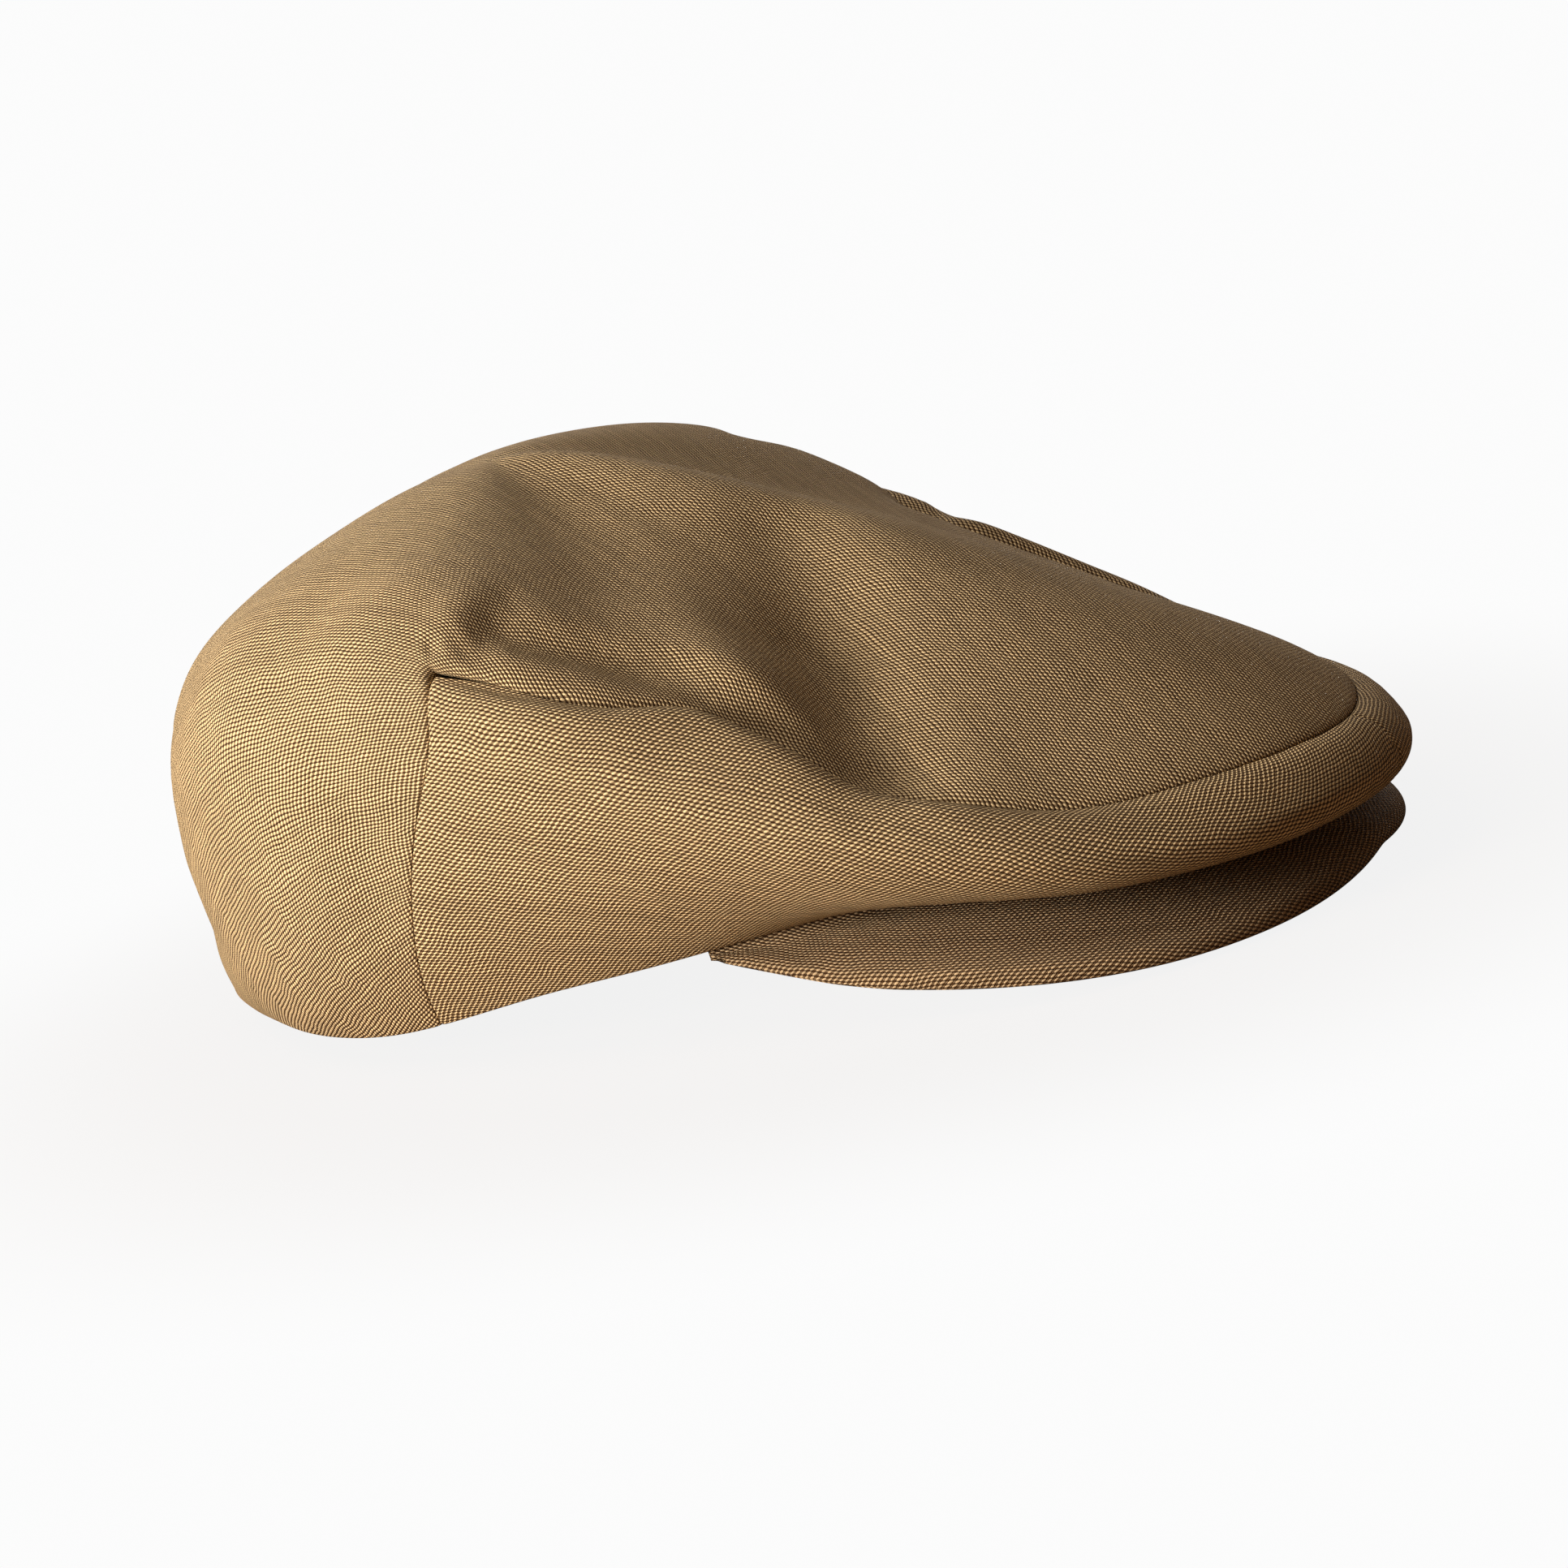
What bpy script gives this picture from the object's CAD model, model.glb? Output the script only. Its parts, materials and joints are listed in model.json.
import json
from math import cos, pi, radians, sin

import bmesh
import bpy
import numpy as np
from mathutils import Matrix, Vector


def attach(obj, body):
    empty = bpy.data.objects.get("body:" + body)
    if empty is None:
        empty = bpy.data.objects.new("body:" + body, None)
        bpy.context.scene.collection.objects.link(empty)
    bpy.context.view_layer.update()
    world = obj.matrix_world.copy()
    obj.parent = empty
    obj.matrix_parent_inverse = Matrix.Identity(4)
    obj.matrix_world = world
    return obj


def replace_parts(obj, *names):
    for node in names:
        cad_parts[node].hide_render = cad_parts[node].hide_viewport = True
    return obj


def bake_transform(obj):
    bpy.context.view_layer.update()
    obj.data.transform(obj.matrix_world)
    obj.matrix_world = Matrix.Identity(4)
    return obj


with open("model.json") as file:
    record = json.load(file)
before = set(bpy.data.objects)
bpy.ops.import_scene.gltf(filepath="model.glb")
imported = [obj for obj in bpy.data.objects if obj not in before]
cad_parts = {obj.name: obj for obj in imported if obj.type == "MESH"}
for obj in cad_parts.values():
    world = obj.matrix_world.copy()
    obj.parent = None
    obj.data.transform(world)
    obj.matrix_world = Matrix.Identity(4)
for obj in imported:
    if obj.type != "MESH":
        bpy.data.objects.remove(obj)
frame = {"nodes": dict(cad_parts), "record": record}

scene = bpy.context.scene
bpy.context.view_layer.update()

# ---------------------------------------------------------------- the studio
# The cap rests on a pale floor in soft light. The key lamp stands low and near, beside the back of
# the cap's right side, so the nose and the visor fall into shade. One lamp lights the top from
# above, and a weak one keeps the far side from going dark.
VIEW_AZIMUTH = radians(-67.1)
VIEW_ELEVATION = radians(12.2)
VIEW_ROLL = radians(-12.5)
VIEW_DISTANCE = 1.3
VIEW_TARGET = Vector((-0.0015, -0.0006, 0.0325))


def direction(azimuth, elevation):
    return Vector((sin(azimuth) * cos(elevation), -cos(azimuth) * cos(elevation), sin(elevation)))


def stand(name, data, azimuth, elevation, distance, roll=0.0):
    """Put a camera or a lamp round the cap, looking at its middle."""
    place = VIEW_TARGET + direction(azimuth, elevation) * distance
    turn = (VIEW_TARGET - place).to_track_quat("-Z", "Y").to_matrix().to_4x4()
    thing = bpy.data.objects.new(name, data)
    thing.matrix_world = Matrix.Translation(place) @ turn @ Matrix.Rotation(roll, 4, "Z")
    scene.collection.objects.link(thing)
    return thing


lens = bpy.data.cameras.new("camera")
lens.lens = 138.0
lens.sensor_width = 36.0
scene.camera = stand("camera", lens, VIEW_AZIMUTH, VIEW_ELEVATION, VIEW_DISTANCE, VIEW_ROLL)

LAMPS = {  # degrees round and up, distance and size in metres, watts
    "key_lamp": (-119, 14, 0.75, 0.34, 8.2),
    "top_lamp": (-135, 58, 1.8, 1.0, 17.0),
    "far_side_lamp": (112, 16, 1.8, 1.2, 9.0),
}
for name, (azimuth, elevation, distance, size, watts) in LAMPS.items():
    light = bpy.data.lights.new(name, "AREA")
    light.shape = "DISK"
    light.size = size
    light.energy = watts
    stand(name, light, radians(azimuth), radians(elevation), distance)

# The backdrop is plain white where it is seen, and gives the cap only a soft, warm fill.
FILL = 0.075
world = bpy.data.worlds.new("daylight")
scene.world = world
world.use_nodes = True
tree = world.node_tree
tree.nodes.clear()
fill = tree.nodes.new("ShaderNodeBackground")
fill.inputs["Color"].default_value = (1.0, 0.62, 0.40, 1.0)
fill.inputs["Strength"].default_value = FILL
backdrop = tree.nodes.new("ShaderNodeBackground")
backdrop.inputs["Color"].default_value = (0.97, 0.97, 0.97, 1.0)
path = tree.nodes.new("ShaderNodeLightPath")
share = path.outputs["Is Camera Ray"]
for ray in ("Is Glossy Ray", "Is Transmission Ray"):
    larger = tree.nodes.new("ShaderNodeMath")
    larger.operation = "MAXIMUM"
    tree.links.new(share, larger.inputs[0])
    tree.links.new(path.outputs[ray], larger.inputs[1])
    share = larger.outputs[0]
pick = tree.nodes.new("ShaderNodeMixShader")
out = tree.nodes.new("ShaderNodeOutputWorld")
tree.links.new(share, pick.inputs[0])
tree.links.new(fill.outputs[0], pick.inputs[1])
tree.links.new(backdrop.outputs[0], pick.inputs[2])
tree.links.new(pick.outputs[0], out.inputs["Surface"])

# The floor is a sheet of pale paper. Close to the cap it keeps the cap's shadow, and further out
# it fades into the backdrop.
bpy.ops.mesh.primitive_plane_add(size=16.0)
floor = bpy.context.object
floor.name = "floor"
floor_paper = bpy.data.materials.new("floor_paper")
floor_paper.use_nodes = True
tree = floor_paper.node_tree
tree.nodes.clear()
paper = tree.nodes.new("ShaderNodeBsdfDiffuse")
paper.inputs["Color"].default_value = (0.30, 0.20, 0.13, 1.0)
glow = tree.nodes.new("ShaderNodeEmission")
glow.inputs["Color"].default_value = (0.97, 0.97, 0.97, 1.0)
spot = tree.nodes.new("ShaderNodeNewGeometry")
reach = tree.nodes.new("ShaderNodeVectorMath")
reach.operation = "LENGTH"
fade = tree.nodes.new("ShaderNodeMapRange")
fade.interpolation_type = "SMOOTHSTEP"
fade.inputs["From Min"].default_value = 0.12
fade.inputs["From Max"].default_value = 0.26
fade.inputs["To Min"].default_value = 0.9
path = tree.nodes.new("ShaderNodeLightPath")
share = tree.nodes.new("ShaderNodeMath")
share.operation = "MULTIPLY"
pick = tree.nodes.new("ShaderNodeMixShader")
out = tree.nodes.new("ShaderNodeOutputMaterial")
tree.links.new(spot.outputs["Position"], reach.inputs[0])
tree.links.new(reach.outputs["Value"], fade.inputs["Value"])
tree.links.new(fade.outputs["Result"], share.inputs[0])
tree.links.new(path.outputs["Is Camera Ray"], share.inputs[1])
tree.links.new(share.outputs[0], pick.inputs[0])
tree.links.new(paper.outputs[0], pick.inputs[1])
tree.links.new(glow.outputs[0], pick.inputs[2])
tree.links.new(pick.outputs[0], out.inputs["Surface"])
floor.data.materials.append(floor_paper)
scene.view_settings.view_transform = "Standard"

# ---------------------------------------------------------------- the crown's top panel
# One piece of linen makes the top of the cap and runs down the back of the head to the hem. It is
# sewn to the two side panels, and the seam allowances lie inside. The linen is a coarse plain weave
# of round two-ply yarns, in a natural straw colour, with dark gaps where the yarns cross.
OPENING_LENGTH = 224.0  # all sizes of the cloth are in millimetres
OPENING_WIDTH = 168.0
OPENING_SETBACK = 4.0
CROWN_HEIGHT = 100.0
PEAK_SETBACK = 22.0
STATIONS = [0, 30, 60, 90, 120, 150, 180]  # degrees round from the centre front
CROWN_STATIONS = {
    "overhang": [52, 42.5, 26, 20, 15, 1, -8.5],
    "widest": [-6, 0, 30, 60, 58, 42, 28],
    "belly": [10, 7, 1, 0, 0, 0, 0],
    "hem": [0, 0, 0, 0, -3, 0.5, 3.5],
    "flare": [2.1, 2.1, 2.2, 2.4, 3, 3.6, 3.6],
    "shoulder": [12, 8, 15, 21, 28, 35, 38],
    "power": [6, 6, 7, 9, 9, 9, 9],
    "rounding": [0.25, 0.15, 0.2, 0.65, 0.95, 0.9, 0.9],
}
HEM_TUCK = 4.5  # the hem is drawn in by this behind the ears
HEM_TUCK_ANGLE = 157.0
HEM_TUCK_SPREAD = 22.0
HEM_TUCK_HEIGHT = 0.38  # share of the wall's height
ROUND_STEP = 0.07  # step of v over which the widest line is rounded off
SIDE_SEAM = 111.0
SEAM_LEAN = 21.5
SEAM_STATIONS = [0, 30, 60, 81, 95, SIDE_SEAM]
TOP_SEAM = [1.04, 1.06, 1.08, 1.17, 1.09, 1.07]

# The head opening's mount says where the cap's own drawing frame lies.
opening = next(mount for mount in frame["record"]["mounts"] if mount["name"] == "head_opening")
sideways = np.array([1.0, 0.0, 0.0])
upward = -np.array(opening["axis"])
rearward = np.cross(upward, sideways)
axis_foot = np.array(opening["pos_m"]) - rearward * OPENING_SETBACK / 1000


def turned(vectors):
    """Directions in the opening's frame, as directions in the cap's own frame."""
    return vectors[..., :1] * sideways + vectors[..., 1:2] * rearward + vectors[..., 2:] * upward


def placed(points):
    """Millimetres in the opening's frame, as metres in the cap's own frame."""
    return axis_foot + turned(np.asarray(points, float)) / 1000


def smooth_table(stations, values):
    """A smooth curve through values given at stations, level at both ends."""
    stations, values = np.array(stations, float), np.array(values, float)
    spans = np.diff(stations)
    rises = np.diff(values) / spans
    slopes = np.zeros_like(values)
    slopes[1:-1] = (rises[:-1] * spans[1:] + rises[1:] * spans[:-1]) / (spans[:-1] + spans[1:])

    def read(x):
        x = np.clip(np.asarray(x, float), stations[0], stations[-1])
        i = np.clip(np.searchsorted(stations, x, side="right") - 1, 0, len(spans) - 1)
        t = (x - stations[i]) / spans[i]
        ease = 3 * t**2 - 2 * t**3
        return (values[i] + (values[i + 1] - values[i]) * ease
                + spans[i] * (slopes[i] * (t**3 - 2 * t**2 + t) + slopes[i + 1] * (t**3 - t**2)))

    return read


crown_at = {name: smooth_table(STATIONS, values) for name, values in CROWN_STATIONS.items()}
top_seam = smooth_table(SEAM_STATIONS, TOP_SEAM)


def folded(u):
    """The angle from the centre front, the same on both sides."""
    return np.abs((np.asarray(u, float) + 180) % 360 - 180)


def polar(u, radius, z):
    u = np.radians(u)
    return np.stack(np.broadcast_arrays(-radius * np.sin(u), -radius * np.cos(u), z), -1)


def opening_radius(u):
    a, b = OPENING_LENGTH / 2, OPENING_WIDTH / 2
    s, c = np.sin(np.radians(u)), np.cos(np.radians(u))
    square = (s / b) ** 2 + (c / a) ** 2
    middle = 2 * c * OPENING_SETBACK / a**2
    rest = (OPENING_SETBACK / a) ** 2 - 1
    return (-middle + np.sqrt(middle**2 - 4 * square * rest)) / (2 * square)


def dent(gap, depth, width):
    return depth * np.exp(-(gap / width) ** 2)


def wall_radius(u, t):
    k = folded(u)
    low = np.clip(1 - t / HEM_TUCK_HEIGHT, 0, 1) ** 2
    tuck = dent(k - HEM_TUCK_ANGLE, HEM_TUCK, HEM_TUCK_SPREAD) * low
    return opening_radius(u) + crown_at["overhang"](k) * (1 - (1 - t) ** crown_at["flare"](k)) - tuck


def roof_height(u, s):
    """Height of the roof where it has shrunk to the share s of the widest line."""
    k = folded(u)
    e = crown_at["rounding"](k)
    foot = crown_at["widest"](k)
    shoulder = crown_at["shoulder"](k)
    fall = (np.sqrt(s * s + e * e) - e) / (np.sqrt(1 + e * e) - e)
    edge = np.sqrt(np.clip(1 - s ** crown_at["power"](k), 0, 1))
    return foot + shoulder * edge + (CROWN_HEIGHT - foot - shoulder) * (1 - fall)


def crown_point(u, v):
    """The crown: v runs from the opening (0) over the widest line (1) to the peak (2)."""
    k = folded(u)
    t = np.clip(v, 0, 1)
    hem, widest = crown_at["hem"](k), crown_at["widest"](k)
    sag = crown_at["belly"](k) * 4 * t * (1 - t)
    wall = polar(u, wall_radius(u, t), hem + (widest - hem) * t - sag)
    s = np.clip(2 - v, 0, 1)
    roof = polar(u, wall_radius(u, np.ones_like(t)) * s, roof_height(u, s))
    roof[..., 1] += PEAK_SETBACK * (1 - s)
    return np.where((v > 1)[..., None], roof, wall)


def crown_rounded(u, v):
    """The crown with the line between wall and roof rounded off, apart from the nose."""
    sharp = crown_point(u, v)
    mean = (crown_point(u, v - ROUND_STEP) + 2 * sharp + crown_point(u, v + ROUND_STEP)) / 4
    k = folded(u)
    share = np.clip((k - 45) / 35, 0, 1) * np.clip((140 - k) / 30, 0.25, 1)
    share *= np.clip((v - 0.55) / 0.2, 0, 1) * np.clip((1.7 - v) / 0.2, 0, 1)
    return sharp + (mean - sharp) * share[..., None]


def on_crown(p, v):
    """The crown on a grid whose line p = SIDE_SEAM follows the leaning side seam."""
    return crown_rounded(p - SEAM_LEAN * np.minimum(v, TOP_SEAM[-1]) * np.sin(np.radians(p)), v)


# Soft folds that wear has left in the linen. Each is a line over the crown in degrees round and v,
# its depth at both ends, negative where it stands proud, and its half width. The wearer's right
# has the positive angles.
FOLDS = {
    "front_valley": ([(12, 1.60), (21, 1.52), (30, 1.43), (36, 1.31), (42, 1.16)], (4.6, 7.5), 12.0),
    "back_hump": ([(34, 1.72), (42, 1.60), (48, 1.45), (50, 1.30)], (-1.0, -3.0), 12.0),
    "seam_hollow": ([(77, 1.20), (68, 1.23), (58, 1.24), (50, 1.18)], (3.2, 3.2), 6.0),
    "pocket": ([(77, 1.31), (80.5, 1.21), (83.5, 1.12)], (0.8, 3.0), 2.8),
    "corner_dimple": ([(87.2, 1.135), (89, 1.095)], (1.0, 1.8), 1.4),
    "corner_ridge": ([(86, 1.15), (84, 1.26), (80, 1.36)], (-1.4, -0.2), 5.0),
    "back_diagonal": ([(113, 1.05), (107, 1.22), (101, 1.36)], (2.4, 0.3), 10.0),
    "back_upright": ([(106, 1.02), (104, 0.75), (107, 0.42)], (1.8, 0.8), 7.0),
    "seam_ripple": ([(104, 0.98), (101, 0.84), (101, 0.70)], (-0.9, -0.4), 3.0),
    "left_valley": ([(-60, 1.25), (-62, 1.15)], (0.2, 2.6), 7.0),
    "left_pocket": ([(-81, 1.30), (-84, 1.17)], (0.2, 2.2), 5.0),
    "left_back": ([(-112, 0.95), (-106, 1.16), (-110, 1.30)], (2.4, 0.3), 11.0),
    "peak": ([(0, 1.99), (180, 1.99)], (0.6, 0.6), 6.0),
    "rear_upright": ([(160, 0.85), (152, 0.45), (156, 0.2)], (1.4, 0.4), 9.0),
}


def nearest_on(points, start, end):
    """Distance from each point to a straight stretch, and how far along it that is."""
    along = end - start
    t = np.clip(((points - start) @ along) / (along @ along), 0, 1)
    return np.linalg.norm(points - (start + t[..., None] * along), axis=-1), t


def distance_to(points, line):
    """Distance from each point to a line of straight stretches."""
    return np.min([nearest_on(points, *stretch)[0] for stretch in zip(line[:-1], line[1:])], axis=0)


def drawn(corners, steps=12):
    """A line over the crown through corners in degrees round and v, as points."""
    corners = np.array(corners, float)
    spots = np.linspace(0, len(corners) - 1, steps * (len(corners) - 1) + 1)
    angle, v = (np.interp(spots, range(len(corners)), corners[:, i]) for i in (0, 1))
    return crown_point(angle, v)


fold_lines = [(drawn(corners), depths, width) for corners, depths, width in FOLDS.values()]


def fold_depth(points):
    """How far the folds press the cloth in, in millimetres."""
    total = np.zeros(points.shape[:-1])
    for line, depths, width in fold_lines:
        deepest = np.zeros(points.shape[:-1])
        ends = np.linspace(*depths, len(line))
        for i in range(len(line) - 1):
            gap, t = nearest_on(points, line[i], line[i + 1])
            dip = dent(gap, ends[i] + (ends[i + 1] - ends[i]) * t, width)
            deepest = np.where(np.abs(dip) > np.abs(deepest), dip, deepest)
        total += deepest
    return total


SLACK_WAVE = 0.28
SLACK_RIPPLE = 0.12


def slack(points):
    """Gentle unevenness of hand-pressed cloth, made of a few crossing waves."""
    x, y, z = (points[..., i] for i in range(3))
    wave = np.sin(x / 17 + y / 23 + z / 11 + 1) + np.sin(y / 13 - z / 19 + x / 29 + 2)
    return SLACK_WAVE * wave + SLACK_RIPPLE * np.sin(x / 7 + z / 6) * np.sin(y / 8 + 0.6)


def seam_path(p, v):
    line = on_crown(p, v)
    return [line, line * np.array([-1.0, 1, 1])]


seam_p = np.linspace(0, SIDE_SEAM, 60)
seam_v = np.linspace(0, TOP_SEAM[-1], 30)
TOP_SEAM_LINES = seam_path(seam_p, top_seam(seam_p))
SIDE_SEAM_LINES = seam_path(np.full_like(seam_v, SIDE_SEAM), seam_v)
FRONT_SEAM_LINES = seam_path(np.zeros_like(seam_v), seam_v * TOP_SEAM[0] / TOP_SEAM[-1])


def near(points, lines):
    return np.min([distance_to(points, line) for line in lines], axis=0)


STITCH_REACH = 0.6  # half width of the dent that a row of hidden stitches makes
SIDE_PULL = (0.25, 0.9)  # dent of the side seam low down, and what it gains towards its top
FRONT_PULL = 0.3
SIDE_ROLL = (2.4, 2.2)  # the side panel's edge rolls under at the top seam: depth, half width
SIDE_SWELL = (1.4, 6.0, 4.0)  # and swells beside it: height, distance from the seam, half width
TOP_ROLL = ((1.2, 1.0), (1.6, 7.0))  # the top panel dips sharply at the seam, and gently towards it
CORNER_ROLL = (1.3, 1.5)  # the dent that both panels share where three seams meet
CORNER_REACH = 7.0
NOSE_LOSS = 0.55  # share of the roll that is lost by the nose


def seam_depth(points, on_side_panel):
    """How far the stitching pulls the cloth in, and how the side panel rolls over the top seam."""
    top = near(points, TOP_SEAM_LINES)
    nose = np.clip((-points[..., 1] - 60) / 60, 0, 1)
    side_pull = SIDE_PULL[0] + SIDE_PULL[1] * np.clip((points[..., 2] - 52) / 20, 0, 1)
    pull = dent(near(points, SIDE_SEAM_LINES), side_pull, STITCH_REACH)
    pull += dent(near(points, FRONT_SEAM_LINES), FRONT_PULL, STITCH_REACH)
    corner = np.min([np.linalg.norm(points - line[-1], axis=-1) for line in SIDE_SEAM_LINES], axis=0)
    meet = dent(corner, 1.0, CORNER_REACH)
    if on_side_panel:
        height, distance, spread = SIDE_SWELL
        roll = dent(top, *SIDE_ROLL) - dent(top - distance, height, spread)
    else:
        roll = dent(top, *TOP_ROLL[0]) + dent(top, *TOP_ROLL[1])
    return pull + (roll + (dent(top, *CORNER_ROLL) - roll) * meet) * (1 - NOSE_LOSS * nose)


def grid_normals(points, closed):
    """Outward normals of a grid of points, rows by columns."""
    if closed:
        wide = np.concatenate([points[:, -1:], points, points[:, :1]], 1)
        around = wide[:, 2:] - wide[:, :-2]
    else:
        around = np.gradient(points, axis=1)
    normals = np.cross(np.gradient(points, axis=0), around)
    if closed:
        normals[-1] = normals[-2].mean(0)
    return normals / np.maximum(np.linalg.norm(normals, axis=-1, keepdims=True), 1e-9)


def spaced(length, cells, start=True, end=True):
    """Shares from 0 to 1 over a length, closer together at the ends that meet a seam."""
    close = np.array([0.0, 0.25, 0.6, 1.2, 2.3, 4.0]) / length
    head = close if start else np.array([0.0])
    tail = 1 - close[::-1] if end else np.array([1.0])
    return np.concatenate([head, np.linspace(head[-1], tail[0], cells + 1)[1:-1], tail])


def grid_faces(rows, columns, closed=False, has=lambda r, c: True):
    faces = []
    for r in range(rows - 1):
        for c in range(columns if closed else columns - 1):
            if has(r, c):
                d = (c + 1) % columns
                corners = (r * columns + c, r * columns + d)
                faces.append((*corners, corners[1] + columns, corners[0] + columns))
    return faces


def sewn_object(name, points, faces, finish):
    mesh = bpy.data.meshes.new(name)
    mesh.from_pydata([tuple(p) for p in points], [], faces)
    mesh.materials.append(finish)
    obj = bpy.data.objects.new(name, mesh)
    scene.collection.objects.link(obj)
    return obj


def turn_in(obj, normals, hem_count, allowance):
    """Fold a panel's open edges inwards by the seam allowance, apart from those of the hem."""
    form = bmesh.new()
    form.from_mesh(obj.data)
    open_edges = [e for e in form.edges
                  if e.is_boundary and e.calc_length() > 1e-6
                  and not all(v.index < hem_count for v in e.verts)]
    sources = {tuple(v.co): v.index for e in open_edges for v in e.verts}
    made = bmesh.ops.extrude_edge_only(form, edges=open_edges)["geom"]
    for v in [item for item in made if isinstance(item, bmesh.types.BMVert)]:
        v.co -= Vector(normals[sources[tuple(v.co)]]) * allowance / 1000
    bmesh.ops.remove_doubles(form, verts=form.verts, dist=2e-6)
    loose = [v for v in form.verts if not v.link_faces]
    bmesh.ops.delete(form, geom=loose, context="VERTS")
    bmesh.ops.recalc_face_normals(form, faces=form.faces)
    form.to_mesh(obj.data)
    form.free()


def flatten(obj, thread):
    """Lay the cloth out as its flat pattern piece, in metres, with U along the thread."""
    bpy.ops.object.select_all(action="DESELECT")
    obj.select_set(True)
    bpy.context.view_layer.objects.active = obj
    obj.data.uv_layers.new(name="cloth")
    bpy.ops.object.mode_set(mode="EDIT")
    bpy.ops.mesh.select_all(action="SELECT")
    bpy.ops.uv.unwrap(method="MINIMUM_STRETCH", margin=0.0)
    bpy.ops.object.mode_set(mode="OBJECT")
    mesh = obj.data
    flat = np.zeros(len(mesh.loops) * 2)
    mesh.uv_layers["cloth"].data.foreach_get("uv", flat)
    flat = flat.reshape(-1, 2)
    spots = np.zeros(len(mesh.vertices) * 3)
    mesh.vertices.foreach_get("co", spots)
    spots = spots.reshape(-1, 3)
    first = np.array([face.loop_start for face in mesh.polygons if len(face.vertices) == 4])
    corner = np.zeros(len(mesh.loops), int)
    mesh.loops.foreach_get("vertex_index", corner)
    edge_a = spots[corner[first + 1]] - spots[corner[first]]
    edge_b = spots[corner[first + 3]] - spots[corner[first]]
    flat_a, flat_b = flat[first + 1] - flat[first], flat[first + 3] - flat[first]
    size = np.linalg.norm(np.cross(edge_a, edge_b), axis=1)
    flat_size = np.abs(flat_a[:, 0] * flat_b[:, 1] - flat_a[:, 1] * flat_b[:, 0])
    aa, bb, ab = ((p * q).sum(1) for p, q in ((edge_a, edge_a), (edge_b, edge_b), (edge_a, edge_b)))
    ta, tb = edge_a @ np.array(thread), edge_b @ np.array(thread)
    square = np.maximum(aa * bb - ab * ab, 1e-18)
    share_a, share_b = (ta * bb - tb * ab) / square, (tb * aa - ta * ab) / square
    lie = ((share_a[:, None] * flat_a + share_b[:, None] * flat_b) * size[:, None]).sum(0)
    lie /= np.linalg.norm(lie)
    turn = np.array([[lie[0], -lie[1]], [lie[1], lie[0]]])
    flat = flat @ turn * (size.sum() / flat_size.sum()) ** 0.5
    mesh.uv_layers["cloth"].data.foreach_set("uv", flat.ravel())


def soften(obj):
    """Round the facets off with one subdivision that keeps the cut edges."""
    obj.data.shade_smooth()
    soft = obj.modifiers.new("soft", "SUBSURF")
    soft.levels = soft.render_levels = 1
    soft.boundary_smooth = "PRESERVE_CORNERS"


HEM_RADIUS = 0.6
HEM_STAND = 8.0
SEAM_ALLOWANCE = 3.0


def hem_rows(points, normals):
    """The hem: the cloth is turned in and up over itself at the crown's lower edge."""
    rise = points[1] - points[0]
    rise /= np.linalg.norm(rise, axis=-1, keepdims=True)
    foot = points[0] + rise * HEM_RADIUS
    inside = foot - normals[0] * 2 * HEM_RADIUS
    rows = [inside + rise * HEM_STAND, inside + rise * HEM_STAND / 2]
    for angle in np.radians([0, 36, 72, 108, 144]):
        rows.append(foot - normals[0] * HEM_RADIUS * (1 + cos(angle)) - rise * HEM_RADIUS * sin(angle))
    return np.array(rows)


def crown_panel(name, p, v, finish, thread, closed=False, has=lambda r, c: True):
    points = on_crown(p, v)
    normals = grid_normals(points, closed)
    depth = fold_depth(points) + seam_depth(points, not closed) + slack(points)
    points[..., :] -= normals * depth[..., None]
    hem = hem_rows(points, normals)
    points[0] += (points[1] - points[0]) * 0.5
    full = np.concatenate([hem, points])
    rows, columns = full.shape[:2]
    faces = grid_faces(rows, columns, closed, lambda r, c: has(max(r - len(hem), 0), c))
    obj = sewn_object(name, placed(full.reshape(-1, 3)), faces, finish)
    outward = np.concatenate([np.repeat(normals[:1], len(hem), 0), normals])
    turn_in(obj, turned(outward.reshape(-1, 3)), columns, SEAM_ALLOWANCE)
    flatten(obj, thread)
    soften(obj)
    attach(obj, "crown")
    return obj


# The weave: slanted floats of weft in brick order, warp between them, dark where they cross.
LINEN_YARN = (0.82, 0.57, 0.285)
LINEN_GAP = (0.075, 0.028, 0.006)
WARP_PITCH = 0.00058
WEFT_PITCH = 0.00086


def maths(tree, operation, *values):
    node = tree.nodes.new("ShaderNodeMath")
    node.operation = operation
    for socket, value in zip(node.inputs, values):
        if isinstance(value, (int, float)):
            socket.default_value = value
        else:
            tree.links.new(value, socket)
    return node.outputs[0]


def new_group(name, inputs, outputs):
    """A shader node group; a colour is an input of four numbers, or an output named Color."""
    group = bpy.data.node_groups.new(name, "ShaderNodeTree")
    for label, value in inputs.items():
        kind = "Vector" if value is None else "Color" if isinstance(value, tuple) else "Float"
        socket = group.interface.new_socket(label, in_out="INPUT", socket_type="NodeSocket" + kind)
        if value is not None:
            socket.default_value = value
    for label in outputs:
        kind = "Color" if label == "Color" else "Float"
        group.interface.new_socket(label, in_out="OUTPUT", socket_type="NodeSocket" + kind)
    return group, group.nodes.new("NodeGroupInput"), group.nodes.new("NodeGroupOutput")


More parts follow.
